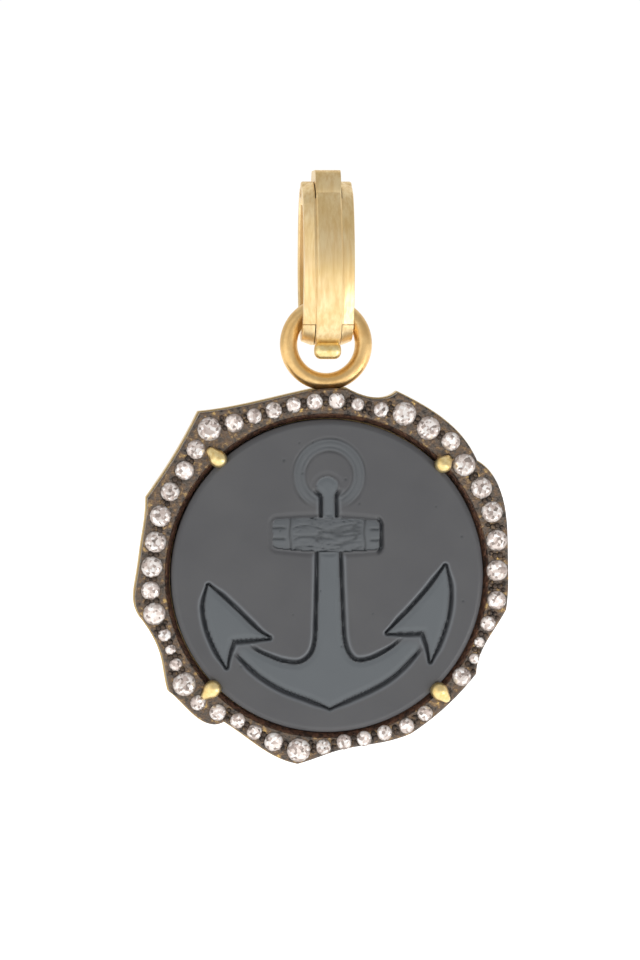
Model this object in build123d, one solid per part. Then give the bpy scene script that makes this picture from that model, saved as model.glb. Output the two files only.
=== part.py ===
from build123d import *
from math import cos, hypot, radians, sin, sqrt, tan
import os

# Carved stone pendant with a pave rim, hanging from a hinged bail that opens to clip on a chain.
# Millimetres. +Z is up and the front faces -Y. The origin is the chain seat, the underside of
# the bail's hinge barrel, where the chain carries the pendant.
# Angles on the pendant are clockwise from the top, seen from the front.

# Bail: an upright oval loop made of a back leaf and a hinged front leaf
bail_width = 4.2
bail_height = 13.6            # outside height of the oval, without the hinge tab
bail_depth = 7.6              # outside depth of the oval, without the raised band
bail_end_r = 3.0              # outside radius of the bends at top and bottom
leaf_thickness = 1.1
wing_slope_width = 0.85       # each side of a leaf slopes away over this width
wing_drop = 0.32
band_width = 2.1              # raised flat band down the middle of the front leaf
band_rise = 0.3
band_bevel = 0.12
edge_round = 0.14             # on the leaves' long edges

# Bail hinge
pin_r = 0.35
barrel_r = 1.0
tab_r = 2.55                  # proud tab of the back leaf, about the hinge pin
tab_rise = 1.9                # its flat top above the pin
tab_round = 0.7               # radius of its top edges
pin_clearance = 0.03          # radial, between the pin and the front leaf's barrels
stop_angle = 36               # over the pin each leaf's end slopes back this far from upright
hinge_gap = 0.08              # between parts that turn past each other
pin_head_drop = 0.12          # pin ends lie this far inside the barrels' ends

# Bail catch at the foot of the loop
lug_height = 1.75             # lugs of the back leaf beside the front leaf's tongue
tongue_end_y = -0.7           # where the tongue meets the back leaf under the loop
catch_gap = 0.07
catch_pin_r = 0.25
catch_pin_cover = 0.15        # metal between the pin and the inside of the loop
catch_pin_angle = 35          # forward of the foot, about the lower bend's centre
catch_pin_length = 3.4
bead_half_width = 1.12        # thumb bead under the tongue
bead_r = 0.72
bead_y = -1.5
bead_bite = 0.24              # how far the bead reaches up into the tongue's end

# Hanging ring
ring_wire_r = 0.725
ring_clearance = 0.23         # between the bail's corners and the ring's hole, all round
hang_gap = 0.16               # ring hole above the bail's corners
ring_sink = 0.18              # soldered this deep into the top of the rim

# Stone
stone_r = 13.0
stone_thickness = 2.7
stone_rise = 0.45             # front face above the rim
stone_edge_bevel = 0.4
stone_fit = 0.12              # radial gap in the rim's opening
carving_depth = 0.55
groove_width = 0.28

# Rim: a blackened front plate on a gold back frame
plate_thickness = 1.4
frame_thickness = 1.8
plate_edge_bevel = 0.12
frame_overhang = 0.12         # gold shows this far outside the plate
frame_edge_bevel = 0.25
opening_bevel = 0.42
bearing_width = 1.6           # ledge under the stone
bearing_thickness = 0.45
# The free outline: stretches of (angle, width of the rim beyond its opening), corner to corner
rim_stretches = [
    [(-6, 2.3), (0, 2.45), (6, 2.5)],
    [(6, 2.5), (13.5, 2.05), (18.5, 2.4), (21.2, 3.2)],
    [(21.2, 3.2), (33, 3.1), (42, 3.05), (53, 2.6)],
    [(53, 2.6), (57, 2.95), (69, 2.8), (84, 2.1), (96, 2.1), (101, 2.15)],
    [(101, 2.15), (106.5, 1.7), (115, 1.3), (123.5, 1.85)],
    [(123.5, 1.85), (138, 1.7), (152, 1.85)],
    [(152, 1.85), (162, 1.55), (177.5, 1.55), (183, 2.05), (189, 2.75)],
    [(189, 2.75), (194, 2.6), (204, 2.0), (215.4, 1.7)],
    [(215.4, 1.7), (217, 2.3), (227, 2.85), (234, 3.1)],
    [(234, 3.1), (238, 2.65), (244, 2.1), (251, 2.1), (258, 2.75)],
    [(258, 2.75), (263, 2.95), (270, 2.6), (280, 2.45), (287, 2.6), (293.5, 3.15)],
    [(293.5, 3.15), (306, 2.85), (315, 3.3), (322, 4.1)],
    [(322, 4.1), (330, 2.95), (340, 2.3), (354, 2.3)],
]

# Stones set in one row along the middle of the rim: (angle, girdle diameter), and for a stone
# that stands outside the middle, how far
gem_row = [
    (3, 1.4), (10, 1.1), (18, 1.3), (25.5, 2.0), (34.5, 2.0), (42.7, 1.6), (51.2, 1.9),
    (60.5, 1.8), (69, 1.8), (78.5, 1.8), (88.5, 1.8), (98.5, 1.6), (106.8, 1.3), (113.8, 0.9),
    (119.6, 0.9), (127, 1.6), (144.7, 1.3), (152.2, 1.3), (160, 1.3), (167.3, 1.3),
    (174.3, 1.3), (181.4, 1.3), (189.4, 2.0), (198, 1.6), (205.2, 1.3), (212, 1.3),
    (219, 1.4), (225.8, 1.3), (233.2, 2.0), (240, 1.1), (245.2, 0.9), (250.4, 1.1),
    (258, 1.9), (265.6, 1.6), (273.3, 1.8), (281.5, 1.8), (290, 1.8), (298.4, 1.6),
    (306.6, 1.6), (314, 1.6), (321.3, 2.0, 0.3), (328.6, 1.6), (335.4, 1.3), (342, 1.4),
    (348.8, 1.3), (355.8, 1.4),
]
gem_sizes = [0.9, 1.1, 1.3, 1.4, 1.6, 1.8, 1.9, 2.0]
gem_table = 0.56              # shares of the girdle diameter, as a brilliant is cut
gem_crown = 0.16
gem_pavilion = 0.43
gem_girdle = 0.03
gem_seat_gap = 0.02
gem_rise = 0.06               # girdle above the plate
gem_margin = 0.12             # from a stone's girdle to the rim's outer edge
gem_wall = 0.15               # and at least this much to its opening
grain_r = 0.15                # raised grains that hold the stones
grain_gap = 0.02

# Claws over the stone's edge
claw_angles = {"upper_right": 46, "lower_right": 136, "lower_left": 226, "upper_left": 317}
claw_ball_r = 0.7
claw_reach = 0.35             # ball's centre beyond the stone's edge
claw_tail = 1.0               # tail beyond the ball's centre
claw_tail_r = 0.32
claw_root_r = 0.6             # tail's radius inside the ball
claw_root_drop = 0.1          # tail starts this far behind the ball's centre
claw_ball_proud = 0.12        # ball's centre in front of the stone's face
claw_post_r = 0.42
claw_post_top = 0.4           # post above the rim's face, inside the ball
claw_post_depth = 1.1         # post below the rim's face
claw_post_inset = 0.05        # post stands back from the tail's end
claw_gap = 0.03               # stones of the row stand this far outside a claw's tail
claw_zone = 5                 # and step out within this many degrees of it

# Places worked out from the sizes above
pin_z = barrel_r
loop_z = pin_z + barrel_r - bail_height / 2
loop_bottom = loop_z - bail_height / 2
half_bail = bail_width / 2
half_band = band_width / 2
lug_top = loop_bottom + lug_height
ring_hole_r = hypot(half_bail, leaf_thickness / 2) + ring_clearance
ring_r = ring_hole_r + ring_wire_r
corner_to_ring = sqrt(ring_hole_r ** 2 - half_bail ** 2)
ring_z = loop_bottom + leaf_thickness + hang_gap - corner_to_ring
swing_z = ring_z + (corner_to_ring + sqrt((ring_hole_r + 2 * ring_wire_r) ** 2 - half_bail ** 2)) / 2
opening_r = stone_r + stone_fit
stone_z = ring_z - (ring_r + ring_wire_r - ring_sink) - (opening_r + rim_stretches[0][1][1])
plate_front = -plate_thickness
stone_front = plate_front - stone_rise
stone_back = stone_front + stone_thickness
row_inner_r = opening_r + opening_bevel
claw_end_r = stone_r + claw_reach + claw_tail

parts = {}


def slab(face, back_y, front_y):
    """A face drawn in X and Z, made solid from back_y forward to front_y."""
    return extrude(Plane.XZ.offset(-back_y) * face, amount=back_y - front_y)


def across(radius, length, y, z, x=0):
    """A round bar along X."""
    return Pos(x, y, z) * Rot(0, 90, 0) * Cylinder(radius, length)


def block(x_low, x_high, y_low, y_high, z_low, z_high):
    size = (x_high - x_low, y_high - y_low, z_high - z_low)
    return Pos((x_low + x_high) / 2, (y_low + y_high) / 2, (z_low + z_high) / 2) * Box(*size)


def polar(angle, radius):
    """A point on the pendant's face, from the stone's centre."""
    return (radius * sin(radians(angle)), stone_z + radius * cos(radians(angle)))


# ---- Bail ----

def oval(growth):
    """The loop's outside oval in Y and Z, grown or shrunk evenly."""
    half_height = bail_height / 2 + growth
    half_depth = bail_depth / 2 + growth
    end_r = bail_end_r + growth
    rise = half_height - end_r
    side_r = (rise ** 2 + half_depth ** 2 - end_r ** 2) / (2 * (half_depth - end_r))
    inset = side_r - half_depth
    join_y = end_r * inset / (side_r - end_r)
    join_z = rise + end_r * rise / (side_r - end_r)
    edge = [
        ThreePointArc((-join_y, join_z), (0, half_height), (join_y, join_z)),
        ThreePointArc((join_y, join_z), (half_depth, 0), (join_y, -join_z)),
        ThreePointArc((join_y, -join_z), (0, -half_height), (-join_y, -join_z)),
        ThreePointArc((-join_y, -join_z), (-half_depth, 0), (-join_y, join_z)),
    ]
    return make_face(edge)


def oval_bar(growth, half_width, edge_width=0, edge_drop=0):
    """The oval made solid along X, with sloping edges if they are asked for."""
    middle = half_width - edge_width
    bar = extrude(Plane.YZ.offset(-middle) * oval(growth), amount=2 * middle)
    if edge_width:
        wing = loft([Plane.YZ.offset(middle) * oval(growth),
                     Plane.YZ.offset(half_width) * oval(growth - edge_drop)])
        bar += wing + mirror(wing, about=Plane.YZ)
    return Pos(0, 0, loop_z) * bar


big = 2 * (bail_height + bail_depth)
loop_hole = oval_bar(-leaf_thickness, bail_width)
loop = oval_bar(0, half_bail, wing_slope_width, wing_drop) - loop_hole
loop = fillet(loop.edges().filter_by_position(Axis.X, half_bail, half_bail), edge_round)
loop = fillet(loop.edges().filter_by_position(Axis.X, -half_bail, -half_bail), edge_round)
band_loop = oval_bar(band_rise, half_band, band_bevel, band_bevel) - oval_bar(0, bail_width)

tab_space = across(tab_r + hinge_gap, band_width + 2 * hinge_gap, 0, pin_z)
front_half = block(-big, big, -big, -hinge_gap / 2, -big, big)
tongue_zone = block(-half_band, half_band, -big, tongue_end_y, -big, lug_top)
above_lugs = block(-big, big, -big, big, lug_top, big)
side_barrels = across(barrel_r, bail_width, 0, pin_z)
# the leaves' ends slope away from each other, and meet only beyond the fully open bail
stop_height = barrel_r + leaf_thickness
stop_half = stop_height * tan(radians(stop_angle))
stop_notch = make_face(Polyline((0, pin_z), (stop_half, pin_z + stop_height),
                                (-stop_half, pin_z + stop_height), close=True))
stop_notch = extrude(Plane.YZ * stop_notch, amount=bail_width, both=True)

# Front leaf: wings down to the lugs, tongue on down to the foot, open round the hinge tab
leaf_zone = front_half & (above_lugs + tongue_zone)
catch_reach = bail_end_r - leaf_thickness + catch_pin_cover + catch_pin_r
catch_pin_y = -catch_reach * sin(radians(catch_pin_angle))
catch_pin_z = loop_bottom + bail_end_r - catch_reach * cos(radians(catch_pin_angle))
catch_groove = across(catch_pin_r + catch_gap / 2, bail_width, catch_pin_y, catch_pin_z)
# the groove opens towards the back, so that the tongue can swing forward off the pin
catch_mouth = block(-half_bail, half_bail, catch_pin_y, 0,
                    catch_pin_z - catch_pin_r - catch_gap / 2,
                    catch_pin_z + catch_pin_r + catch_gap / 2)
front_leaf = (loop & leaf_zone) - tab_space - side_barrels - stop_notch - catch_groove - catch_mouth
parts["bail_front_leaf"] = front_leaf

band_zone = block(-half_band, half_band, -big, bead_y + bead_r / 2, -big, pin_z)
parts["front_band"] = (band_loop & band_zone) - tab_space

# Back leaf: the back half and the foot as far as the tongue
back_zone = block(-big, big, tongue_end_y + catch_gap, big, -big, loop_z)
back_zone += block(-big, big, hinge_gap / 2, big, loop_z, big)
tab_bar = across(tab_r, band_width, 0, pin_z)
tab_bar &= block(-half_band, half_band, -big, big, -big, pin_z + tab_rise)
tab_bar -= loop_hole
centre_barrel = across(barrel_r, band_width, 0, pin_z)
knuckle_space = across(barrel_r + hinge_gap, bail_width + 2, 0, pin_z)
back_leaf = (loop & back_zone) - knuckle_space - stop_notch - across(tab_r, band_width, 0, pin_z)
parts["bail_back_leaf"] = back_leaf

pin_hole = across(pin_r, 2 * bail_width, 0, pin_z)
tab_bar = fillet(tab_bar.edges().filter_by(Axis.X).sort_by(Axis.Z)[-2:], tab_round)
parts["hinge_centre_knuckle"] = tab_bar + centre_barrel - pin_hole
parts["hinge_pin"] = across(pin_r, bail_width - 2 * pin_head_drop, 0, pin_z)

parts["catch_pin"] = across(catch_pin_r, catch_pin_length, catch_pin_y, catch_pin_z)

# Side barrels turn on the pin and belong to the front leaf
knuckle_length = half_bail - half_band - hinge_gap
turning_hole = across(pin_r + pin_clearance, 2 * bail_width, 0, pin_z)
for side, name in [(-1, "left"), (1, "right")]:
    middle_x = side * (half_bail - knuckle_length / 2)
    knuckle = across(barrel_r, knuckle_length, 0, pin_z, middle_x)
    outer_rim = knuckle.edges().filter_by(GeomType.CIRCLE).sort_by(Axis.X)[-1 if side > 0 else 0]
    parts["hinge_knuckle_" + name] = fillet(outer_rim, 0.18) - turning_hole

    # Lugs of the catch beside the tongue
    inner_x, outer_x = side * (half_band + catch_gap), side * half_bail
    lug_zone = block(min(inner_x, outer_x), max(inner_x, outer_x), -big,
                     tongue_end_y + catch_gap, -big, lug_top - catch_gap)
    parts["catch_lug_" + name] = (loop & lug_zone) - parts["catch_pin"]


# Thumb bead: a round pill under the tongue's end
band_end_z = loop_bottom + bail_end_r - sqrt((bail_end_r + band_rise) ** 2 - bead_y ** 2)
bead = across(bead_r, 2 * bead_half_width, bead_y, band_end_z - bead_r + bead_bite)
bead = fillet(bead.edges().filter_by(GeomType.CIRCLE), 0.8 * bead_r)
parts["thumb_bead"] = bead - oval_bar(band_rise, bail_width)


# ---- Hanging ring ----

hanging_ring = Pos(0, 0, ring_z) * Rot(90, 0, 0) * Torus(ring_r, ring_wire_r)
parts["hanging_ring"] = hanging_ring


# ---- Rim ----

def rim_face(growth=0):
    edges = [Spline([polar(angle, opening_r + width + growth) for angle, width in stretch])
             for stretch in rim_stretches]
    return make_face(edges)


def rim_width(angle):
    """The rim's width beyond its opening, read off the outline at any angle."""
    for stretch in rim_stretches:
        for (low, start), (high, end) in zip(stretch, stretch[1:]):
            for turn in (angle, angle - 360):
                if low <= turn <= high:
                    return start + (end - start) * (turn - low) / (high - low)


centre = Pos(0, stone_z)
outline = rim_face()
opening = centre * Circle(opening_r)

plate = slab(outline, 0, plate_front) - slab(opening, 1, plate_front - 1)
plate = chamfer(plate.edges().group_by(Axis.Y)[0].filter_by(GeomType.BSPLINE), plate_edge_bevel)
bevel_cone = loft([Plane.XZ.offset(plate_thickness - opening_bevel) * (centre * Circle(opening_r)),
                   Plane.XZ.offset(plate_thickness) * (centre * Circle(row_inner_r))])
plate -= bevel_cone

back_frame = slab(rim_face(frame_overhang), frame_thickness, 0)
back_frame -= slab(opening, stone_back + bearing_thickness, -1)
back_frame = chamfer(back_frame.edges().group_by(Axis.Y)[-1].filter_by(GeomType.BSPLINE), frame_edge_bevel)
window_r = opening_r - bearing_width
back_frame -= slab(centre * Circle(window_r), frame_thickness + 1, -1)

bearing_ring = Circle(opening_r) - Circle(window_r)
parts["stone_bearing"] = slab(centre * bearing_ring, stone_back + bearing_thickness, stone_back)


# ---- Row of stones and the grains that hold them ----

def gem_radius(angle, diameter):
    """The row keeps to the rim's middle, inside its edge, and steps outward round a claw's tail."""
    edge = opening_r + rim_width(angle)
    middle = min((row_inner_r + edge) / 2, edge - diameter / 2 - gem_margin)
    middle = max(middle, opening_r + diameter / 2 + gem_wall)
    for claw_angle in claw_angles.values():
        if abs(angle - claw_angle) < claw_zone:
            middle = max(middle, claw_end_r + diameter / 2 + claw_gap)
    return middle


def gem_solid(diameter, gap=0):
    """A round brilliant about Z, table up, girdle at zero; a gap makes it a seat cutter."""
    girdle = diameter / 2 + gap
    edge = gem_girdle * diameter / 2
    profile = Polyline((0, -gem_pavilion * diameter - gap), (girdle, -edge), (girdle, edge),
                       (gem_table * diameter / 2 + gap, gem_crown * diameter),
                       (0, gem_crown * diameter), close=True)
    return revolve(Plane.XZ * make_face(profile), Axis.Z)


gems = {size: [] for size in gem_sizes}
seats = []
gem_spots = []
for angle, diameter, *outward in gem_row:
    radius = gem_radius(angle, diameter) + sum(outward)
    x, z = polar(angle, radius)
    spot = Pos(x, plate_front - gem_rise, z) * Rot(90, 0, 0)
    gems[diameter].append(spot * gem_solid(diameter))
    seats.append(spot * gem_solid(diameter, gem_seat_gap))
    seats.append(spot * Cylinder(diameter / 2 + gem_seat_gap, 4 * gem_rise))
    gem_spots.append((angle, radius, diameter))
for size, stones in gems.items():
    parts["gems_" + str(size).replace(".", "_") + "mm"] = Compound(stones)


def clear_of_claws(angle, radius):
    """True where a grain stands clear of every claw's ball and tail."""
    for claw_angle in claw_angles.values():
        off = radians(angle - claw_angle)
        if (radius * cos(off) < claw_end_r + 2 * grain_r
                and abs(radius * sin(off)) < claw_ball_r + 2 * grain_r):
            return False
    return True


# Two grains between each pair of neighbours, each just clear of both stones
grains = []
for (angle, radius, size), (next_angle, next_radius, next_size) in zip(
        gem_spots, gem_spots[1:] + gem_spots[:1]):
    turn = radians((next_angle - angle) % 360)
    apart = sqrt(radius ** 2 + next_radius ** 2 - 2 * radius * next_radius * cos(turn))
    share = size / (size + next_size)
    reach = [stone_size / 2 + grain_r + grain_gap for stone_size in (size, next_size)]
    side_step = max(sqrt(max(0, reach[0] ** 2 - (share * apart) ** 2)),
                    sqrt(max(0, reach[1] ** 2 - ((1 - share) * apart) ** 2)), 1.3 * grain_r)
    grain_angle = angle + share * ((next_angle - angle) % 360)
    row_r = radius + (next_radius - radius) * share
    outer_limit = opening_r + rim_width(grain_angle % 360) - plate_edge_bevel - grain_r
    for grain_at in (row_r - side_step, row_r + side_step):
        if row_inner_r + grain_r < grain_at < outer_limit and clear_of_claws(grain_angle, grain_at):
            x, z = polar(grain_angle, grain_at)
            dome = Pos(x, plate_front, z) * Sphere(grain_r)
            grains.append(dome & block(x - 1, x + 1, plate_front - 1, plate_front, z - 1, z + 1))
parts["setting_grains"] = Compound(grains)


# ---- Claws ----

claw_posts = []
ball_r = stone_r + claw_reach
ball_y = stone_front - claw_ball_proud
post_z = claw_end_r - claw_post_inset - claw_post_r
post_y = plate_front + (claw_post_depth - claw_post_top) / 2
stone_space = slab(Circle(stone_r), stone_back, stone_front)
for name, angle in claw_angles.items():
    turned = Pos(0, 0, stone_z) * Rot(0, angle, 0)
    ball = Pos(0, ball_y, ball_r) * Sphere(claw_ball_r)
    tail = Pos(0, 0, ball_r) * loft([
        Plane.XY * Pos(0, ball_y + claw_root_drop) * Circle(claw_root_r),
        Plane.XY.offset(claw_tail) * Pos(0, plate_front - claw_tail_r / 2) * Circle(claw_tail_r)])
    post = Pos(0, post_y, post_z) * Rot(90, 0, 0) * Cylinder(claw_post_r, claw_post_depth + claw_post_top)
    claw = ball + tail + post - stone_space
    parts["claw_" + name] = turned * claw
    claw_posts.append(turned * claw)


# ---- Stone with its carving ----

def bow(*points):
    """A closed face of three-point arcs: corner, middle of the arc, corner, and so on."""
    ring = list(points) + [points[0]]
    return make_face([ThreePointArc(*ring[i:i + 3]) for i in range(0, len(points), 2)])


def anchor_faces():
    """An anchor: knob and neck, wooden stock, tapering shank, curved arms and two flukes."""
    shank = make_face(Polyline((-0.55, 4.9), (0.75, 4.9), (1.35, -7.5), (-0.7, -7.5), close=True))
    neck = Pos(0.18, 6.1) * Rectangle(1.25, 3.2)
    knob = Pos(0.2, 8.2) * RectangleRounded(1.9, 1.5, 0.7)
    stock = Pos(0, 3.5) * RectangleRounded(9.1, 2.9, 0.5)
    left_arm = bow((0.33, -10.8), (-4.2, -8.9), (-7.6, -6.6), (-6.95, -6.1), (-6.2, -5.8),
                   (-3.4, -7.35), (0.33, -6.4), (0.4, -8.6))
    right_arm = bow((0.33, -10.8), (4.5, -8.6), (8.0, -5.9), (7.4, -5.4), (6.6, -5.1),
                    (3.6, -7.1), (0.33, -6.4), (0.26, -8.6))
    left_fluke = bow((-9.9, -0.6), (-10.1, -4.1), (-8.3, -7.5), (-7.7, -6.5), (-7.5, -5.4),
                     (-6.15, -5.3), (-4.8, -5.1), (-7.5, -3.0))
    right_fluke = bow((10.0, 0.8), (10.1, -3.3), (8.7, -7.2), (8.15, -5.95), (7.9, -4.6),
                      (6.5, -4.7), (5.1, -4.7), (7.8, -2.3))
    return [shank, neck, knob, stock, left_arm, right_arm, left_fluke, right_fluke]


shackle = Pos(0.25, 8.5) * (Circle(3.1) - Circle(2.2))
anchor = Sketch() + anchor_faces()
grown_anchor = Sketch() + [offset(face, groove_width, kind=Kind.ARC) for face in anchor_faces()]
carved = grown_anchor - anchor
stone = slab(centre * Circle(stone_r), stone_back, stone_front)
stone = chamfer(stone.edges().sort_by(Axis.Y)[0], stone_edge_bevel)
carve = slab(centre * carved, stone_front + carving_depth, stone_front - 1)
carve += slab(centre * (shackle - anchor), stone_front + carving_depth / 3, stone_front - 1)
parts["stone_disc"] = stone - carve


# ---- Rim, once everything that sits in it is known ----

for cutter in seats:
    plate -= cutter
for post in claw_posts:
    plate -= post
    back_frame -= post
parts["front_plate"] = plate - hanging_ring
parts["back_frame"] = back_frame - hanging_ring


os.makedirs("parts", exist_ok=True)
for name, shape in parts.items():
    shape.label = name
    export_step(shape, "parts/" + name + ".step")
print("hinge pin at z", round(pin_z, 4))
print("pendant swings about z", round(swing_z, 4))
print("stone centre at z", round(stone_z, 4), "back face at y", frame_thickness)
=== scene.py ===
import math
import random

import bmesh
import bpy
import numpy as np
from mathutils import Matrix, Vector


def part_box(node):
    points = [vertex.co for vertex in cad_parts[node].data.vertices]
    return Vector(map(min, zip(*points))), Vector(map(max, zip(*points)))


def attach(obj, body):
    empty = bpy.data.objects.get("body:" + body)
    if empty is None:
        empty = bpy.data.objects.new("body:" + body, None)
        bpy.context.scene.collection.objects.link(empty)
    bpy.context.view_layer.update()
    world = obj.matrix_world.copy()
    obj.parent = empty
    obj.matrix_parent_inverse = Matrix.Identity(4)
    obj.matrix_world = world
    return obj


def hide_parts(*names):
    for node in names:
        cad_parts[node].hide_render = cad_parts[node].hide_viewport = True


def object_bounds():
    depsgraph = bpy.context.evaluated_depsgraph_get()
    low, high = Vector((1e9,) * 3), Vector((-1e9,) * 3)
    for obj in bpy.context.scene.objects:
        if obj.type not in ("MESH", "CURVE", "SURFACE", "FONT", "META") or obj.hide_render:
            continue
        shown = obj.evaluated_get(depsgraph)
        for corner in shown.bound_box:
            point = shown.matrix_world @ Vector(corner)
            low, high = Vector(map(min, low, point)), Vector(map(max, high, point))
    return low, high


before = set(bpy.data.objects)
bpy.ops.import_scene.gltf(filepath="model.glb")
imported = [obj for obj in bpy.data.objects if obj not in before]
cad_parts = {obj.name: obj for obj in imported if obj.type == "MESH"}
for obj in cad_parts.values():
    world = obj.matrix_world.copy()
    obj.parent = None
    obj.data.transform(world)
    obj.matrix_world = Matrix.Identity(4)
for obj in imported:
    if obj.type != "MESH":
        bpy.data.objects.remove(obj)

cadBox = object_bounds()
mm = 0.001
stoneLow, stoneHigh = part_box("stone_disc")
stoneCentre = Vector((0, 0, (stoneLow.z + stoneHigh.z) / 2))
stoneRadius = (stoneHigh.x - stoneLow.x) / 2
print("frame loaded")


# ---------- small helpers ----------

def deselectAll():
    if bpy.context.object and bpy.context.object.mode != "OBJECT":
        bpy.ops.object.mode_set(mode="OBJECT")
    bpy.ops.object.select_all(action="DESELECT")


def makeActive(piece):
    deselectAll()
    piece.select_set(True)
    bpy.context.view_layer.objects.active = piece


def nameActive(name):
    piece = bpy.context.object
    piece.name = piece.data.name = name
    return piece


def settle(piece):
    # the place goes into the mesh, so the object sits at the origin
    makeActive(piece)
    bpy.ops.object.transform_apply(location=True, rotation=True, scale=True)


def pickVerts(piece, indices):
    # selects these vertices alone, in edit mode
    mesh = bmesh.from_edit_mesh(piece.data)
    for vert in mesh.verts:
        vert.select = vert.index in indices
    mesh.select_flush_mode()
    bmesh.update_edit_mesh(piece.data)


def smooth(piece, degrees=35):
    makeActive(piece)
    bpy.ops.object.shade_smooth_by_angle(angle=math.radians(degrees))


def copyOf(piece, name):
    twin = piece.copy()
    twin.data = piece.data.copy()
    twin.name = twin.data.name = name
    bpy.context.collection.objects.link(twin)
    return twin


def joinAll(copies, name):
    deselectAll()
    for twin in copies:
        twin.select_set(True)
    bpy.context.view_layer.objects.active = copies[0]
    if len(copies) > 1:
        bpy.ops.object.join()
    return nameActive(name)


def islandsOf(nodeName):
    # centre and size of each separate solid in a CAD node, read from a merged copy of its mesh
    work = bmesh.new()
    work.from_mesh(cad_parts[nodeName].data)
    bmesh.ops.remove_doubles(work, verts=work.verts, dist=0.001 * mm)
    seen, islands = set(), []
    for start in work.verts:
        if start in seen:
            continue
        stack, corners = [start], []
        seen.add(start)
        while stack:
            vert = stack.pop()
            corners.append(vert.co.copy())
            for edge in vert.link_edges:
                other = edge.other_vert(vert)
                if other not in seen:
                    seen.add(other)
                    stack.append(other)
        low = Vector([min(c[i] for c in corners) for i in range(3)])
        high = Vector([max(c[i] for c in corners) for i in range(3)])
        islands.append(((low + high) / 2, high - low, low))
    work.free()
    return islands


# ---------- materials ----------

def toLinear(hexText):
    values = [int(hexText[i:i + 2], 16) / 255 for i in (1, 3, 5)]
    return tuple(v / 12.92 if v <= 0.04045 else ((v + 0.055) / 1.055) ** 2.4 for v in values) + (1,)


def addNode(tree, kind, settings=None, links=None):
    # settings are the node's own values or its inputs' values; links are input: (node, output)
    node = tree.nodes.new(kind)
    for key, value in (settings or {}).items():
        if key == "stops":
            stops = node.color_ramp.elements
            stops[0].position, stops[0].color = value[0][0], toLinear(value[0][1])
            stops[1].position, stops[1].color = value[-1][0], toLinear(value[-1][1])
            for position, colour in value[1:-1]:
                stops.new(position).color = toLinear(colour)
        elif isinstance(key, str) and hasattr(node, key):
            setattr(node, key, value)
        else:
            node.inputs[key].default_value = value
    for key, (owner, output) in (links or {}).items():
        tree.links.new(owner.outputs[output], node.inputs[key])
    return node


def newMaterial(name, **shaderSettings):
    material = bpy.data.materials.new(name)
    material.use_nodes = True
    tree = material.node_tree
    shader = tree.nodes["Principled BSDF"]
    for key, value in shaderSettings.items():
        shader.inputs[key.replace("_", " ")].default_value = value
    return material, tree, shader


def goldMaterial(name, look):
    # 18 carat yellow gold, finished with an abrasive wheel: the eye sees a warm metal whose
    # highlights are drawn out across fine parallel scratches, duller where it is handled
    material, tree, shader = newMaterial(name, Metallic=1.0)
    coords = addNode(tree, "ShaderNodeTexCoord")
    width, length = look["scratchWidth"] * mm, look["scratchLength"] * mm
    drawnOut = addNode(tree, "ShaderNodeMapping", {"Scale": (1 / width, 1 / width, 1 / length)},
                       {"Vector": (coords, "Object")})
    scratches = addNode(tree, "ShaderNodeTexNoise", {"Scale": 1.0, "Detail": 3.0, "Roughness": 0.6},
                        {"Vector": (drawnOut, "Vector")})
    patches = addNode(tree, "ShaderNodeTexNoise", {"Scale": 1 / (look["patch"] * mm), "Detail": 4.0},
                      {"Vector": (coords, "Object")})
    tone = addNode(tree, "ShaderNodeValToRGB", {"stops": [(0.3, look["shade"]), (0.7, look["colour"])]},
                   {"Fac": (patches, "Fac")})
    streaks = addNode(tree, "ShaderNodeMapRange",
                      {"From Min": 0.35, "From Max": 0.65, "To Max": look["streaks"]},
                      {"Value": (scratches, "Fac")})
    streaked = addNode(tree, "ShaderNodeMix", {"data_type": "RGBA", 7: toLinear(look["streak"])},
                       {0: (streaks, "Result"), 6: (tone, "Color")})
    rough = addNode(tree, "ShaderNodeMapRange",
                    {"To Min": look["roughness"] - 0.12, "To Max": look["roughness"] + 0.16},
                    {"Value": (scratches, "Fac")})
    bump = addNode(tree, "ShaderNodeBump", {"Strength": look["bump"], "Distance": 0.02 * mm},
                   {"Height": (scratches, "Fac")})
    tree.links.new(streaked.outputs[2], shader.inputs["Base Color"])
    tree.links.new(rough.outputs["Result"], shader.inputs["Roughness"])
    tree.links.new(bump.outputs["Normal"], shader.inputs["Normal"])
    return material


# scratches run down the bail; real ones are about 0.02 mm, drawn coarser so that they show
bailGold = goldMaterial("brushedYellowGold", {
    "colour": "#F3DDB0", "shade": "#E6CA92", "streak": "#CBA468", "streaks": 0.5, "roughness": 0.36,
    "bump": 0.25, "scratchWidth": 0.32, "scratchLength": 6.0, "patch": 2.5})
# a tumbled wire keeps only short, even marks
ringGold = goldMaterial("tumbledYellowGold", {
    "colour": "#E7C68C", "shade": "#D6AF72", "streak": "#C99F66", "streaks": 0.4, "roughness": 0.33,
    "bump": 0.2, "scratchWidth": 0.3, "scratchLength": 0.3, "patch": 1.6})
clawGold = goldMaterial("burnishedGold", {
    "colour": "#F8E6B0", "shade": "#E2C480", "streak": "#CFA862", "streaks": 0.3, "roughness": 0.34,
    "bump": 0.15, "scratchWidth": 0.2, "scratchLength": 0.2, "patch": 0.5})
frameGold = goldMaterial("filedPaleGold", {
    "colour": "#E3CC9A", "shade": "#D9BF8A", "streak": "#BE9C64", "streaks": 0.5, "roughness": 0.38,
    "bump": 0.3, "scratchWidth": 0.14, "scratchLength": 0.9, "patch": 1.8})


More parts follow.
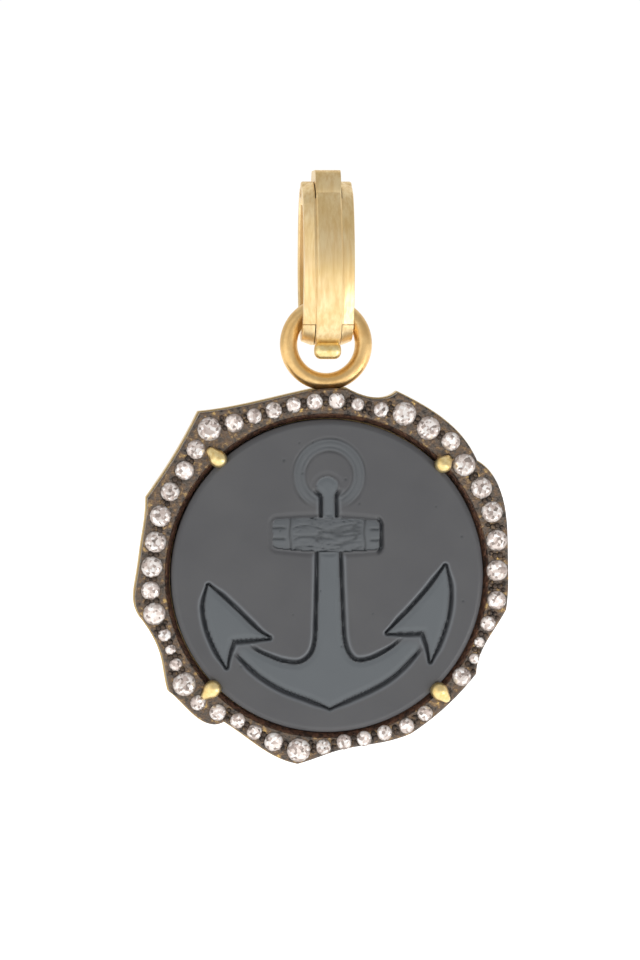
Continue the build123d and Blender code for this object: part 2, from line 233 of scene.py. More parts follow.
def blackenedMaterial(name, look):
    # silver blackened with liver of sulphur, then rubbed back: near black to brown in patches laid by noise,
    # with painted golden glints among them, and a coppery bevel round the opening
    material, tree, shader = newMaterial(name, Metallic=0.85, Roughness=0.42)
    coords = addNode(tree, "ShaderNodeTexCoord")
    blotches = addNode(tree, "ShaderNodeTexNoise",
                       {"Scale": 1 / (look["blotch"] * mm), "Detail": 6.0, "Roughness": 0.65},
                       {"Vector": (coords, "Object")})
    tone = addNode(tree, "ShaderNodeValToRGB", {"stops": look["tones"]}, {"Fac": (blotches, "Fac")})
    copper = addNode(tree, "ShaderNodeValToRGB", {"stops": look["bevelTones"]}, {"Fac": (blotches, "Fac")})
    centred = addNode(tree, "ShaderNodeMapping", {"Location": (-stoneCentre.x, 0, -stoneCentre.z)},
                      {"Vector": (coords, "Object")})
    flat = addNode(tree, "ShaderNodeVectorMath", {"operation": "MULTIPLY", 1: (1, 0, 1)},
                   {0: (centred, "Vector")})
    reach = addNode(tree, "ShaderNodeVectorMath", {"operation": "LENGTH"}, {0: (flat, "Vector")})
    bevelZone = addNode(tree, "ShaderNodeMapRange",
                        {"From Min": look["bevelEnd"] * mm, "From Max": (look["bevelEnd"] - 0.1) * mm},
                        {"Value": (reach, "Value")})
    mixed = addNode(tree, "ShaderNodeMix", {"data_type": "RGBA"},
                    {0: (bevelZone, "Result"), 6: (tone, "Color"), 7: (copper, "Color")})
    grit = addNode(tree, "ShaderNodeTexNoise", {"Scale": 1 / (look["grit"] * mm), "Detail": 4.0},
                   {"Vector": (coords, "Object")})
    bump = addNode(tree, "ShaderNodeBump", {"Strength": 0.9, "Distance": 0.12 * mm},
                   {"Height": (grit, "Fac")})
    tree.links.new(mixed.outputs[2], shader.inputs["Base Color"])
    tree.links.new(bump.outputs["Normal"], shader.inputs["Normal"])
    return material


# in each, the two lightest, golden stops are painted glints; the darker stops are the blackening's own tones
blackened = blackenedMaterial("blackenedSilver", {
    "tones": [(0.34, "#3A3532"), (0.44, "#625A53"), (0.56, "#74604F"), (0.63, "#A48A64"), (0.72, "#D6B26A")],
    "bevelTones": [(0.35, "#54463F"), (0.62, "#9A705A")], "blotch": 0.5, "grit": 0.2, "bevelEnd": 13.52})
beadMetal = blackenedMaterial("rubbedBeadSilver", {
    "tones": [(0.34, "#2B2725"), (0.44, "#453E39"), (0.56, "#57493F"), (0.63, "#77644D"), (0.72, "#9C8358")],
    "bevelTones": [(0.35, "#2B2623"), (0.62, "#7A5C49")], "blotch": 0.4, "grit": 0.3, "bevelEnd": 1.0})


def hematiteMaterial(name, look):
    # hematite, carved and left with a stoned finish: an even, slightly bluish dark grey with a
    # faint sheen; the figure is smoother and lighter, with painted shade in its grooves and pits and a
    # painted highlight on the grooves' outer edges
    material, tree, shader = newMaterial(name, IOR=1.6)
    coords = addNode(tree, "ShaderNodeTexCoord")
    clouds = addNode(tree, "ShaderNodeTexNoise", {"Scale": 1 / (look["cloud"] * mm), "Detail": 5.0},
                     {"Vector": (coords, "Object")})
    tone = addNode(tree, "ShaderNodeValToRGB",
                   {"stops": [(0.3, look["groundShade"]), (0.7, look["ground"])]}, {"Fac": (clouds, "Fac")})
    # over the ground: the figure's own lighter tone, then painted shade in the recesses, then a painted
    # highlight on the grooves' outer edges
    for layer in ("anchorBody", "groove", "rubbedEdge"):
        share = addNode(tree, "ShaderNodeAttribute", {"attribute_name": layer})
        output = 2 if tone.type == "MIX" else 0
        tone = addNode(tree, "ShaderNodeMix", {"data_type": "RGBA", 7: toLinear(look[layer])},
                       {0: (share, "Fac"), 6: (tone, output)})
    grit = addNode(tree, "ShaderNodeTexNoise", {"Scale": 1 / (look["grit"] * mm), "Detail": 3.0},
                   {"Vector": (coords, "Object")})
    bump = addNode(tree, "ShaderNodeBump", {"Strength": 0.12, "Distance": 0.02 * mm},
                   {"Height": (grit, "Fac")})
    rough = addNode(tree, "ShaderNodeMapRange", {"To Min": 0.42, "To Max": 0.58}, {"Value": (clouds, "Fac")})
    tree.links.new(tone.outputs[2], shader.inputs["Base Color"])
    tree.links.new(bump.outputs["Normal"], shader.inputs["Normal"])
    tree.links.new(rough.outputs["Result"], shader.inputs["Roughness"])
    return material


# the last two colours are painted: shade in the carving's recesses, then a highlight on the grooves' outer
# edges
hematite = hematiteMaterial("stonedHematite", {
    "ground": "#48484A", "groundShade": "#404043", "anchorBody": "#51565A", "groove": "#24282C",
    "rubbedEdge": "#70757A", "cloud": 6.0, "grit": 0.15})


def brilliantMaterial(name, look):
    # brilliant-cut melee, slightly pink and included: bright facets broken into small pale and
    # grey flecks where the back facets throw light out again, which the metallic share stands for
    material, tree, shader = newMaterial(name, Roughness=0.1, Metallic=0.35)
    coords = addNode(tree, "ShaderNodeTexCoord")
    flecks = addNode(tree, "ShaderNodeTexVoronoi", {"Scale": 1 / (look["fleck"] * mm)},
                     {"Vector": (coords, "Object")})
    parted = addNode(tree, "ShaderNodeSeparateColor", {}, {"Color": (flecks, "Color")})
    tone = addNode(tree, "ShaderNodeValToRGB", {"stops": look["tones"]}, {"Fac": (parted, "Red")})
    # painted shade towards each stone's girdle, where it sits down in its seat
    reach = addNode(tree, "ShaderNodeAttribute", {"attribute_name": "girdleShare"})
    outer = addNode(tree, "ShaderNodeMapRange", {"From Min": 0.72, "From Max": 1.0, "To Max": 0.75},
                    {"Value": (reach, "Fac")})
    girdleShaded = addNode(tree, "ShaderNodeMix", {"data_type": "RGBA", 7: toLinear(look["edge"])},
                     {0: (outer, "Result"), 6: (tone, "Color")})
    tree.links.new(girdleShaded.outputs[2], shader.inputs["Base Color"])
    return material


brilliant = brilliantMaterial("brilliantMelee", {
    "tones": [(0.0, "#81766F"), (0.25, "#BCABA3"), (0.6, "#E6DAD3"), (1.0, "#FFFDFB")],
    "edge": "#8E827A", "fleck": 0.23})
print("materials ready")


# ---------- carved stone ----------

carving = {"depth": 0.34, "steepWall": 0.16, "slopingWall": 0.34, "pillow": 0.06, "gridSteps": 300,
           "rimBevel": 0.42, "rimDrop": 0.32, "shift": -0.13, "faceInset": 0.012, "wander": 0.006,
           "backBevel": 0.2}
pits = {"count": 16, "seed": 5, "reach": 12, "smallest": 0.05, "largest": 0.1, "depth": 0.06}
fullTurn = 6.283

# The anchor's outlines, in mm from the stone's centre; each stretch runs corner to corner
shankAndArms = [
    [(0.97, 3.4), (1.08, 0), (1.22, -3.4), (1.35, -5.3), (1.75, -6.5), (2.5, -7.15), (3.8, -7.0),
     (5.4, -6.15), (6.6, -5.1), (7.3, -4.4)],
    [(7.3, -4.4), (8.4, -5.2)],
    [(8.4, -5.2), (7.3, -6.55), (5.6, -8.2), (3.9, -9.25), (1.9, -10.15), (0.3, -10.95)],
    [(0.3, -10.95), (-1.3, -10.2), (-3.7, -9.25), (-5.6, -8.05), (-7.35, -6.4), (-8.0, -5.6)],
    [(-8.0, -5.6), (-7.0, -5.0)],
    [(-7.0, -5.0), (-6.1, -6.05), (-4.8, -6.75), (-3.6, -7.2), (-2.2, -7.3), (-1.2, -6.6),
     (-0.78, -5.4), (-0.68, -3.4), (-0.6, 0), (-0.56, 3.4)],
    [(-0.56, 3.4), (0.97, 3.4)],
]
leftFluke = [
    [(-9.8, -0.7), (-10.1, -2.4), (-9.85, -4.1), (-9.2, -5.8), (-8.3, -7.5)],
    [(-8.3, -7.5), (-8.15, -6.4), (-7.8, -5.25)],
    [(-7.8, -5.25), (-6.3, -5.15), (-4.75, -5.1)],
    [(-4.75, -5.1), (-5.9, -4.4), (-7.6, -2.75), (-9.8, -0.7)],
]
rightFluke = [
    [(9.95, 0.8), (10.25, -1.1), (10.15, -2.95), (9.65, -4.8), (8.7, -7.15)],
    [(8.7, -7.15), (8.55, -5.9), (8.15, -4.65)],
    [(8.15, -4.65), (6.6, -4.7), (5.1, -4.75)],
    [(5.1, -4.75), (6.9, -3.05), (8.8, -0.9), (9.95, 0.8)],
]
neckAndKnob = [
    [(-0.26, 4.0), (-0.24, 5.6), (-0.3, 6.7), (-0.75, 7.25), (-0.78, 7.75), (-0.25, 8.2), (0.42, 8.2),
     (0.95, 7.75), (0.92, 7.25), (0.66, 6.7), (0.66, 5.6), (0.7, 4.0)],
    [(0.7, 4.0), (-0.26, 4.0)],
]
carvingTips = [(-9.87, -0.63), (9.98, 0.8), (-8.3, -7.5), (8.7, -7.2), (-4.8, -5.1), (5.1, -4.7),
               (0.33, -10.9)]
# its shackle's scratched rings are (radius, depth, width)
shackle = {"x": 0.24, "z": 8.45, "rings": (
    (3.03, 0.08, 0.09), (2.74, 0.03, 0.07), (2.3, 0.045, 0.08), (1.94, 0.08, 0.09))}
stock = {"left": -4.45, "right": 4.4, "middle": 3.47, "half": 1.42, "endHalf": 1.14, "bands": (-3.0, 3.2),
         "corner": 0.3, "lean": 0.02, "grainDepth": 0.1}


def throughPoints(points, steps=9):
    # a smooth line through a stretch's points
    if len(points) == 2:
        return [points[0]]
    padded = [points[0]] + points + [points[-1]]
    line = []
    for i in range(1, len(padded) - 2):
        p0, p1, p2, p3 = [np.array(p, float) for p in padded[i - 1:i + 3]]
        for t in np.linspace(0, 1, steps, endpoint=False):
            line.append(tuple(0.5 * (2 * p1 + (p2 - p0) * t + (2 * p0 - 5 * p1 + 4 * p2 - p3) * t ** 2
                                     + (3 * p1 - p0 - 3 * p2 + p3) * t ** 3)))
    return line


def distanceTo(stretches, x, z):
    # signed distance to a closed outline, negative inside
    line = np.array([p for stretch in stretches for p in throughPoints(stretch)])
    nearest = np.full(x.shape, 1e9)
    inside = np.zeros(x.shape, bool)
    for (ax, az), (bx, bz) in zip(line, np.roll(line, -1, axis=0)):
        ex, ez = bx - ax, bz - az
        along = np.clip(((x - ax) * ex + (z - az) * ez) / (ex * ex + ez * ez + 1e-12), 0, 1)
        nearest = np.minimum(nearest, (x - ax - along * ex) ** 2 + (z - az - along * ez) ** 2)
        crosses = (az > z) != (bz > z)
        inside ^= crosses & (x < ax + ex * (z - az) / (ez if ez else 1e-12))
    return np.where(inside, -1, 1) * np.sqrt(nearest)


def ease(value, low, high):
    t = np.clip((value - low) / (high - low), 0, 1)
    return t * t * (3 - 2 * t)


def softNoise(x, z, seed):
    # smooth values from 0 to 1 over a grid of random ones
    spread = np.random.default_rng(seed).random((64, 64))
    column, row = np.floor(x).astype(int), np.floor(z).astype(int)
    tx, tz = ease(x - column, 0, 1), ease(z - row, 0, 1)
    low = spread[column % 64, row % 64] * (1 - tx) + spread[(column + 1) % 64, row % 64] * tx
    high = spread[column % 64, (row + 1) % 64] * (1 - tx) + spread[(column + 1) % 64, (row + 1) % 64] * tx
    return low * (1 - tz) + high * tz


def grooveProfile(s, depth):
    # outside an outline: a steep wall by the figure, and a long slope back up to the ground
    steep = ease(s, 0, carving["steepWall"])
    slope = 1 - ease(s, carving["steepWall"], carving["steepWall"] + carving["slopingWall"])
    return np.where(s > 0, depth * np.minimum(steep, slope), 0)


def pillowProfile(s):
    # inside an outline: edges rounded down a little from the middle
    return carving["pillow"] * (1 - ease(-s, 0, 0.5)) + 0.01


def highlightProfile(s):
    # painted highlight on a groove's outer wall, the palest part of the groove, standing in for the light
    # that the sloping wall catches
    middle = carving["steepWall"] + carving["slopingWall"] * 0.85
    return np.exp(-((s - middle) / 0.11) ** 2)


def carvedDepths(x, z):
    # how far the carving lies below the stone's face, with the anchor's body, the painted shade in its
    # grooves and the painted highlight on their outer edges
    depth = np.zeros(x.shape)
    body = np.zeros(x.shape)
    # share of painted shade in the carving's recesses
    shadeShare = np.zeros(x.shape)
    # share of painted highlight on the grooves' outer edges
    highlightShare = np.zeros(x.shape)

    # the tool lifts out towards each tip, so the grooves narrow there
    tipReach = np.min([np.hypot(x - tipX, z - tipZ) for tipX, tipZ in carvingTips], axis=0)
    pinch = 0.65 + 0.45 * ease(tipReach, 0.1, 1.8)

    def cutRound(s, deep, share, inner, edgeShare=0.5):
        # one figure's groove and body, with the groove's painted shade and painted highlight, laid over what
        # is there already
        nonlocal depth, body, shadeShare, highlightShare
        s = np.where(s > 0, s / pinch, s)
        profile = grooveProfile(s, deep) * share
        depth = np.where(s < 0, inner, np.maximum(depth, profile))
        body = np.where(s < 0, np.maximum(share, 0.25), body)
        # painted shade along the foot of the steep wall
        shadow = np.exp(-((s - carving["steepWall"] * 0.9) / 0.17) ** 2) * share * deep / carving["depth"]
        shadeShare = np.where(s < -0.12, 0, np.maximum(shadeShare, shadow))
        # painted highlight along the outer wall
        edge = edgeShare * highlightProfile(s) * share * deep / carving["depth"]
        highlightShare = np.where(s < 0, 0, np.maximum(highlightShare * ease(s, 0.1, 0.4), edge))

    # shackle: two shallow scratched rings, with fainter ones between them
    ringR = np.hypot(x - shackle["x"], z - shackle["z"])
    ringOn = ease(z, 5.6, 6.6)
    uneven = 0.75 + 0.25 * np.sin(5 * np.arctan2(x - shackle["x"], z - shackle["z"]) + 1)
    for lineR, lineDepth, width in shackle["rings"]:
        line = np.exp(-((ringR - lineR) / width) ** 2) * ringOn * uneven
        depth = np.maximum(depth, lineDepth * line)
        # painted shade in each scratched line
        shadeShare = np.maximum(shadeShare, 6 * lineDepth * line)
    band = ease(ringR, 1.95, 2.15) * (1 - ease(ringR, 2.85, 3.03)) * ringOn
    body = np.maximum(body, 0.6 * band)

    flukes = np.minimum(distanceTo(leftFluke, x, z), distanceTo(rightFluke, x, z))
    knob = distanceTo(neckAndKnob, x, z)
    knobDeep = 0.04 + 0.3 * ease(-z, -7.4, -6.8)
    cutRound(knob, knobDeep, 1.0, pillowProfile(knob), 0.3)
    arms = distanceTo(shankAndArms, x, z)
    fade = ease(flukes, 0.1, 1.3)
    cutRound(arms, carving["depth"], fade, pillowProfile(arms) * fade)

    # the wooden stock: a barrel with two end bands, raised grain and split ends
    middleX = (stock["left"] + stock["right"]) / 2
    middleZ = stock["middle"] - stock["lean"] * x
    half = stock["half"] - (stock["half"] - stock["endHalf"]) * (x / 4.6) ** 2
    corner = stock["corner"]
    dx = np.abs(x - middleX) - (stock["right"] - stock["left"]) / 2 + corner
    dz = np.abs(z - middleZ) - half + corner
    log = np.hypot(np.maximum(dx, 0), np.maximum(dz, 0)) + np.minimum(np.maximum(dx, dz), 0) - corner
    barrel = 0.04 + 0.1 * ((z - middleZ) / half) ** 2
    bent = z + 0.12 * np.sin(1.3 * x + 0.6)
    coarse = 1 - np.abs(2 * softNoise(0.55 * x + 9, 3.1 * bent + 9, 4) - 1)
    fine = 1 - np.abs(2 * softNoise(1.1 * x + 20, 6.5 * bent + 20, 8) - 1)
    broken = 0.3 + 0.7 * softNoise(1.6 * x + 30, 2.5 * z + 30, 2)
    deepest = stock["grainDepth"]
    grain = (deepest * ease(coarse, 0.72, 1.0) + 0.05 * ease(fine, 0.75, 1.0)) * broken
    grain *= ease(x, stock["bands"][0], stock["bands"][0] + 0.5)
    grain *= ease(-x, -stock["bands"][1], -stock["bands"][1] + 0.5)
    for bandX in stock["bands"]:
        bandLine = np.exp(-((x - bandX - 0.05 * np.sin(3 * z)) / 0.11) ** 2)
        grain = np.maximum(grain, deepest * bandLine)
    splits = np.exp(-((z - middleZ + 0.4) / 0.1) ** 2) + np.exp(-((z - middleZ - 0.5) / 0.1) ** 2)
    grain = np.maximum(grain, deepest * splits * np.maximum(ease(-x, 3.2, 3.6), ease(x, 3.5, 3.8)))
    cutRound(log, 0.07 + 0.25 * ease(x, 4.1, 4.5), 1.0, barrel + grain, 0.0)
    # painted shade in the stock's carved grain lines
    shadeShare = np.where(log < 0, np.clip(7 * grain, 0, 0.8), shadeShare)
    body = np.where(log < 0, 0.7, body)

    cutRound(flukes, carving["depth"], 1.0, pillowProfile(flukes))
    return depth, np.clip(body, 0, 1), np.clip(shadeShare, 0, 1), np.clip(highlightShare, 0, 1)


def makeStone():
    steps = carving["gridSteps"]
    deselectAll()
    bpy.ops.mesh.primitive_grid_add(x_subdivisions=steps, y_subdivisions=steps, size=2)
    stone = nameActive("carvedStone")
    count = len(stone.data.vertices)
    flat = np.empty(count * 3)
    stone.data.vertices.foreach_get("co", flat)
    u, v = flat.reshape(-1, 3)[:, 0], flat.reshape(-1, 3)[:, 1]
    # the square grid is eased out to a round face
    radiusMm = stoneRadius / mm
    x = u * np.sqrt(1 - v * v / 2) * radiusMm
    z = v * np.sqrt(1 - u * u / 2) * radiusMm
    depth, body, groove, highlightShare = carvedDepths(x - carving["shift"], z)
    edge = np.hypot(x, z) - (radiusMm - carving["rimBevel"])
    depth = depth + carving["rimDrop"] * (np.clip(edge, 0, None) / carving["rimBevel"]) ** 1.5
    wander = carving["wander"] * (np.sin(0.9 * x + 1.7 * z) + np.sin(1.6 * x - 0.8 * z + 2))
    pitSpots = random.Random(pits["seed"])
    for _ in range(pits["count"]):
        angle, reach = pitSpots.uniform(0, fullTurn), pits["reach"] * math.sqrt(pitSpots.random())
        size = pitSpots.uniform(pits["smallest"], pits["largest"])
        away = np.hypot(x - reach * math.sin(angle), z - reach * math.cos(angle))
        pit = np.exp(-(away / size) ** 2)
        depth = depth + pits["depth"] * pit
        # painted shade in each pit
        groove = np.maximum(groove, pit)
    depth = depth + wander + carving["faceInset"]
    placed = np.column_stack([x * mm, stoneLow.y + depth * mm, z * mm + stoneCentre.z])
    stone.data.vertices.foreach_set("co", placed.ravel())
    # the last two layers carry painted shade and a painted highlight
    for label, values in (("anchorBody", body), ("groove", groove), ("rubbedEdge", highlightShare)):
        layer = stone.data.attributes.new(label, "FLOAT", "POINT")
        layer.data.foreach_set("value", values.astype(np.float32))
    stone.data.update()

    # the rim is drawn back to the stone's full thickness and closed behind, with a small bevel
    makeActive(stone)
    bpy.ops.object.mode_set(mode="EDIT")
    bpy.ops.mesh.select_all(action="SELECT")
    bpy.ops.mesh.region_to_loop()
    backBevel = carving["backBevel"] * mm
    rimY = stoneLow.y + (carving["rimDrop"] + carving["faceInset"]) * mm
    sideDepth = stoneHigh.y - backBevel - rimY
    bpy.ops.mesh.extrude_region_move(TRANSFORM_OT_translate={"value": (0, sideDepth, 0)})
    bpy.ops.mesh.extrude_region_move(TRANSFORM_OT_translate={"value": (0, backBevel, 0)})
    shrink = 1 - backBevel / stoneRadius
    bpy.ops.transform.resize(value=(shrink, 1, shrink), center_override=stoneCentre)
    bpy.ops.mesh.edge_face_add()
    bpy.ops.mesh.select_all(action="SELECT")
    bpy.ops.mesh.normals_make_consistent(inside=False)
    bpy.ops.object.mode_set(mode="OBJECT")
    # the back edge ring is levelled, so that the seat it rests on is flat
    backY = max(vert.co.y for vert in stone.data.vertices)
    for vert in stone.data.vertices:
        if vert.co.y > backY - 0.1 * mm:
            vert.co.y = stoneHigh.y
    smooth(stone, 50)
    stone.data.materials.append(hematite)
    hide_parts("stone_disc")
    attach(stone, "pendant")


makeStone()
print("stone carved")


# ---------- brilliants ----------

# shares of the girdle's radius: each ring of facet corners is (corners, radius, height, turn)
cut = {"crown": 0.32, "turnSeed": 11, "tilt": 4, "rings": [
    (8, 0.56, 0.32, 0), (8, 0.8, 0.19, 22.5), (16, 1.0, 0, 0), (16, 1.0, -0.05, 0),
    (8, 0.36, -0.59, 22.5), (8, 0.03, -0.86, 0)]}


def makeBrilliant():
    # the facet corners as rings, wrapped in a hull, so that every facet comes out flat
    deselectAll()
    corners, radius, height, turn = cut["rings"][0]
    bpy.ops.mesh.primitive_circle_add(vertices=corners, radius=radius, location=(0, 0, height))
    gem = nameActive("brilliantPattern")
    settle(gem)
    bpy.ops.object.mode_set(mode="EDIT")
    for corners, radius, height, turn in cut["rings"][1:]:
        bpy.ops.mesh.primitive_circle_add(vertices=corners, radius=radius, location=(0, 0, height),
                                          rotation=(0, 0, math.radians(turn)))
    bpy.ops.mesh.select_all(action="SELECT")
    bpy.ops.mesh.convex_hull()
    bpy.ops.mesh.select_all(action="SELECT")
    bpy.ops.mesh.dissolve_limited(angle_limit=math.radians(2))
    bpy.ops.mesh.normals_make_consistent(inside=False)
    bpy.ops.object.mode_set(mode="OBJECT")
    share = gem.data.attributes.new("girdleShare", "FLOAT", "POINT")
    share.data.foreach_set("value", [vert.co.xy.length for vert in gem.data.vertices])
    return gem


gemPattern = makeBrilliant()
turns = random.Random(cut["turnSeed"])
gemSpots = []
for nodeName in sorted(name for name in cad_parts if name.startswith("gems_")):
    copies = []
    for centre, size, low in islandsOf(nodeName):
        gem = copyOf(gemPattern, "gem")
        radius = max(size.x, size.z) / 2
        girdleY = low.y + cut["crown"] * radius
        tilt = Matrix.Rotation(math.radians(turns.uniform(-cut["tilt"], cut["tilt"])), 4, "X")
        facing = Matrix.Rotation(math.radians(90), 4, "X") @ tilt
        facing = facing @ Matrix.Rotation(turns.uniform(0, fullTurn), 4, "Z")
        place = Matrix.Translation((centre.x, girdleY, centre.z)) @ facing @ Matrix.Scale(radius, 4)
        gem.data.transform(place)
        copies.append(gem)
        gemSpots.append((centre.x, centre.z, radius))
    row = joinAll(copies, "brilliants" + nodeName[4:])
    row.data.materials.append(brilliant)
    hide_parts(nodeName)
    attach(row, "pendant")
bpy.data.objects.remove(gemPattern)
print("stones of the row set", len(gemSpots))


# ---------- raised grains ----------

# the cut's reach is far below its default, which is nearly half a bead's radius and spoils its base
grainShape = {"radius": 0.25, "squash": 0.8, "sink": 0.05, "extra": 0.2, "step": 0.42, "turn": 0.7,
              "gap": 0.1, "room": 0.2, "cutReach": 0.0001, "seed": 3}


def onPlate(x, z):
    # true where the plate's flat front lies under this place, with room round it
    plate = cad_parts["front_plate"]
    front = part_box("front_plate")[0].y
    room = grainShape["room"]
    for dx, dz in ((0, 0), (room, 0), (-room, 0), (0, room), (0, -room)):
        start = Vector((x + dx * mm, front - 5 * mm, z + dz * mm))
        if not plate.ray_cast(start, Vector((0, 1, 0)), distance=5.05 * mm)[0]:
            return False
    return True


def makeGrains():
    # one bead with a flattened crown for each of the CAD node's, and up to two smaller ones beside
    # it, away from the row, where the plate has room
    deselectAll()
    bpy.ops.mesh.primitive_uv_sphere_add(segments=10, ring_count=6, radius=grainShape["radius"] * mm)
    pattern = nameActive("grainPattern")
    bpy.ops.object.mode_set(mode="EDIT")
    bpy.ops.mesh.select_all(action="SELECT")
    bpy.ops.mesh.bisect(plane_co=(0, grainShape["sink"] * mm, 0), plane_no=(0, 1, 0),
                        clear_outer=True, use_fill=True, threshold=grainShape["cutReach"] * mm)
    bpy.ops.mesh.select_all(action="SELECT")
    bpy.ops.transform.resize(value=(1, grainShape["squash"], 1))
    bpy.ops.object.mode_set(mode="OBJECT")
    chance = random.Random(grainShape["seed"])
    copies = []
    for centre, size, low in islandsOf("setting_grains"):
        plateY = low.y + size.y
        spots = [(centre.x, centre.z, chance.uniform(0.9, 1.1))]
        nearest = min(gemSpots, key=lambda gem: math.hypot(gem[0] - centre.x, gem[1] - centre.z))
        fromStone = Vector((centre.x, centre.z - stoneCentre.z))
        gemReach = math.hypot(nearest[0], nearest[1] - stoneCentre.z)
        side = 1 if fromStone.length > gemReach else -1
        step = fromStone.normalized() * side * grainShape["step"] * mm
        for turn in (-grainShape["turn"], grainShape["turn"]):
            extraX = centre.x + step.x * math.cos(turn) - step.y * math.sin(turn)
            extraZ = centre.z + step.x * math.sin(turn) + step.y * math.cos(turn)
            clear = all(math.hypot(gemX - extraX, gemZ - extraZ) > gemR + grainShape["gap"] * mm
                        for gemX, gemZ, gemR in gemSpots)
            if clear and onPlate(extraX, extraZ):
                spots.append((extraX, extraZ, grainShape["extra"] / grainShape["radius"]))
        for x, z, scale in spots:
            bead = copyOf(pattern, "grain")
            bead.data.transform(Matrix.Translation((x, plateY, z)) @ Matrix.Scale(scale, 4))
            copies.append(bead)
    bpy.data.objects.remove(pattern)
    grains = joinAll(copies, "settingGrains")
    smooth(grains, 60)
    grains.data.materials.append(beadMetal)
    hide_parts("setting_grains")
    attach(grains, "pendant")
    print("grains", len(copies))


makeGrains()
print("grains raised")


# ---------- claws ----------

# how far each claw reaches out along its tail, and its thickness there, in shares and in mm
claw = {"ball": 0.72, "rings": 28, "reach": 0.35, "drop": 0.4, "proud": 0.12,
        "tails": {"upper_left": 1.28, "upper_right": 0.95, "lower_left": 1.2, "lower_right": 1.3},
        "along": (0, 0.18, 0.34, 0.5, 0.66, 0.8, 0.92, 1.0),
        "thick": (0.72, 0.70, 0.63, 0.51, 0.41, 0.33, 0.24, 0.0)}


def makeClaw(name):
    # a ball whose outer half is drawn out, ring by ring, into a tail that lies down on the rim
    low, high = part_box("claw_" + name)
    middle = (low + high) / 2
    angle = math.atan2(middle.x - stoneCentre.x, middle.z - stoneCentre.z)
    ball = claw["ball"] * mm
    deselectAll()
    bpy.ops.mesh.primitive_uv_sphere_add(segments=32, ring_count=claw["rings"], radius=ball)
    piece = nameActive("claw" + name.title().replace("_", ""))
    half = claw["rings"] // 2
    rings = {step: set() for step in range(-half, half + 1)}
    for vert in piece.data.vertices:
        lean = math.asin(max(-1, min(1, vert.co.z / ball)))
        rings[round(lean / (math.pi / 2) * half)].add(vert.index)
    bpy.ops.object.mode_set(mode="EDIT")
    for step in range(1, half + 1):
        along = step / half
        height = ball * math.sin(along * math.pi / 2)
        pickVerts(piece, rings[step])
        if step < half:
            narrow = float(np.interp(along, claw["along"], claw["thick"])) * mm
            narrow /= ball * math.cos(along * math.pi / 2)
            bpy.ops.transform.resize(value=(narrow, narrow, 1), center_override=(0, 0, height))
        bpy.ops.transform.translate(value=(0, claw["drop"] * along * along * mm,
                                           claw["tails"][name] * along * mm - height))
    bpy.ops.object.mode_set(mode="OBJECT")
    ballY = stoneLow.y - claw["proud"] * mm
    place = Matrix.Translation(stoneCentre + Vector((0, ballY, 0))) @ Matrix.Rotation(angle, 4, "Y")
    place = place @ Matrix.Translation((0, 0, stoneRadius + claw["reach"] * mm))
    piece.data.transform(place)
    smooth(piece, 80)
    piece.data.materials.append(clawGold)
    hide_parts("claw_" + name)
    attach(piece, "pendant")


for clawName in ("upper_left", "upper_right", "lower_left", "lower_right"):
    makeClaw(clawName)
print("claws bent over")


# ---------- finishes of the CAD pieces that stay ----------

finishes = {
    "hanging_ring": ringGold, "front_plate": blackened, "back_frame": frameGold,
    "stone_bearing": frameGold, "bail_back_leaf": bailGold, "bail_front_leaf": bailGold,
    "front_band": bailGold, "hinge_centre_knuckle": bailGold, "hinge_knuckle_left": bailGold,
    "hinge_knuckle_right": bailGold, "hinge_pin": ringGold, "catch_pin": ringGold,
    "catch_lug_left": bailGold, "catch_lug_right": bailGold, "thumb_bead": clawGold,
}
for nodeName, material in finishes.items():
    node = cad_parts[nodeName]
    node.data.materials.clear()
    node.data.materials.append(material)
print("CAD pieces finished")


# ---------- stage, light and camera ----------

studio = {"floorBelow": 45, "floorSize": 3.0, "floorColour": "#FAFAF9", "floorGlow": 0.7,
          "roomFront": 0.62, "roomBehind": 1.03}
deselectAll()
bpy.ops.mesh.primitive_plane_add(size=studio["floorSize"],
                                 location=(0, 0, cadBox[0].z - studio["floorBelow"] * mm))
floor = nameActive("floor")
floorPaper, _, floorShader = newMaterial("palePaper", Roughness=0.9)
floorShader.inputs["Base Color"].default_value = toLinear(studio["floorColour"])
floorShader.inputs["Emission Color"].default_value = toLinear(studio["floorColour"])
floorShader.inputs["Emission Strength"].default_value = studio["floorGlow"]
floor.data.materials.append(floorPaper)

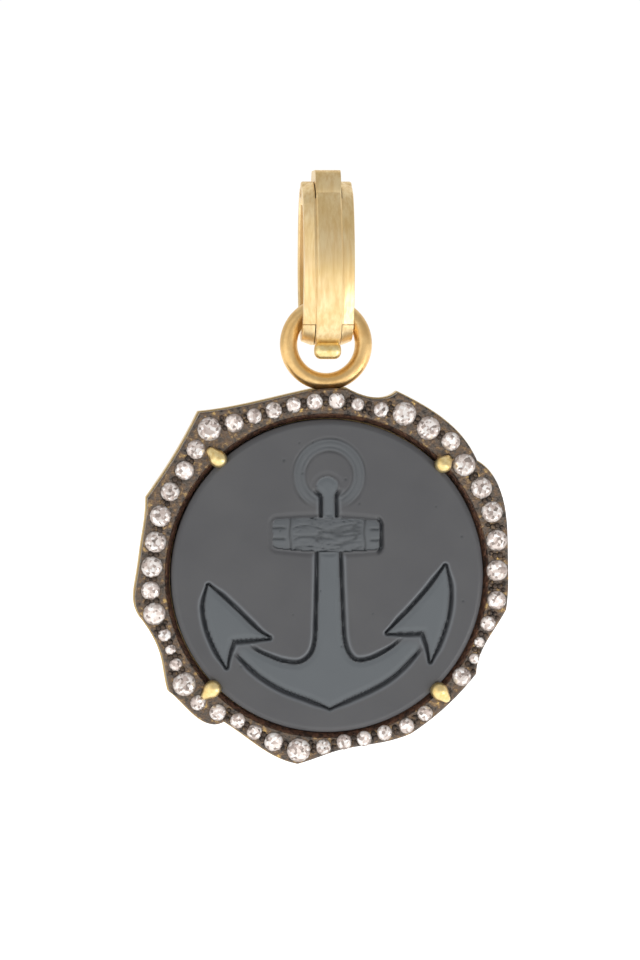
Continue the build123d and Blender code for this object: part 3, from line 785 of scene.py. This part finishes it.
world = bpy.data.worlds.new("studio")
bpy.context.scene.world = world
world.use_nodes = True
skyTree = world.node_tree
heading = addNode(skyTree, "ShaderNodeSeparateXYZ", {}, {
    "Vector": (addNode(skyTree, "ShaderNodeTexCoord"), "Generated")})
roomTone = addNode(skyTree, "ShaderNodeMapRange", {
    "From Min": -0.2, "From Max": 0.5, "To Min": studio["roomFront"], "To Max": studio["roomBehind"]},
    {"Value": (heading, "Y")})
skyTree.links.new(roomTone.outputs["Result"], skyTree.nodes["Background"].inputs["Strength"])
skyTree.nodes["Background"].inputs["Color"].default_value = (1, 1, 1, 1)


def softbox(name, place, aim, size, watts, colour="#FFFFFF"):
    light = bpy.data.lights.new(name, "AREA")
    light.shape = "RECTANGLE"
    light.size, light.size_y = size
    light.energy = watts
    light.color = toLinear(colour)[:3]
    lamp = bpy.data.objects.new(name, light)
    bpy.context.collection.objects.link(lamp)
    lamp.location = place
    lamp.rotation_euler = (Vector(aim) - Vector(place)).to_track_quat("-Z", "Y").to_euler()


pendantMiddle = (0, 0, -0.023)
softbox("keyLeft", (-0.5, -0.4, 0.1), pendantMiddle, (0.6, 0.6), 0.6)
softbox("rakeRight", (0.10, -0.07, -0.11), (0.004, 0, -0.035), (0.08, 0.08), 0.13)

view = {"azimuth": -5.0, "elevation": 2.5, "lens": 150.0, "tall": 80.0, "sensor": 36,
        "aim": (-0.5, 0, stoneCentre.z / mm + 7.92)}
cameraData = bpy.data.cameras.new("camera")
cameraData.lens = view["lens"]
cameraData.sensor_width = view["sensor"]
camera = bpy.data.objects.new("camera", cameraData)
bpy.context.collection.objects.link(camera)
a, e = math.radians(view["azimuth"]), math.radians(view["elevation"])
back = Vector((math.sin(a) * math.cos(e), -math.cos(a) * math.cos(e), math.sin(e)))
aimPoint = Vector(view["aim"]) * mm
camera.location = aimPoint + back * (view["tall"] * mm * view["lens"] / view["sensor"])
camera.rotation_mode = "QUATERNION"
camera.rotation_quaternion = (-back).to_track_quat("-Z", "Y")
cameraData.clip_start = 0.01
bpy.context.scene.camera = camera
bpy.context.scene.view_settings.view_transform = "Standard"
print("stage lit")
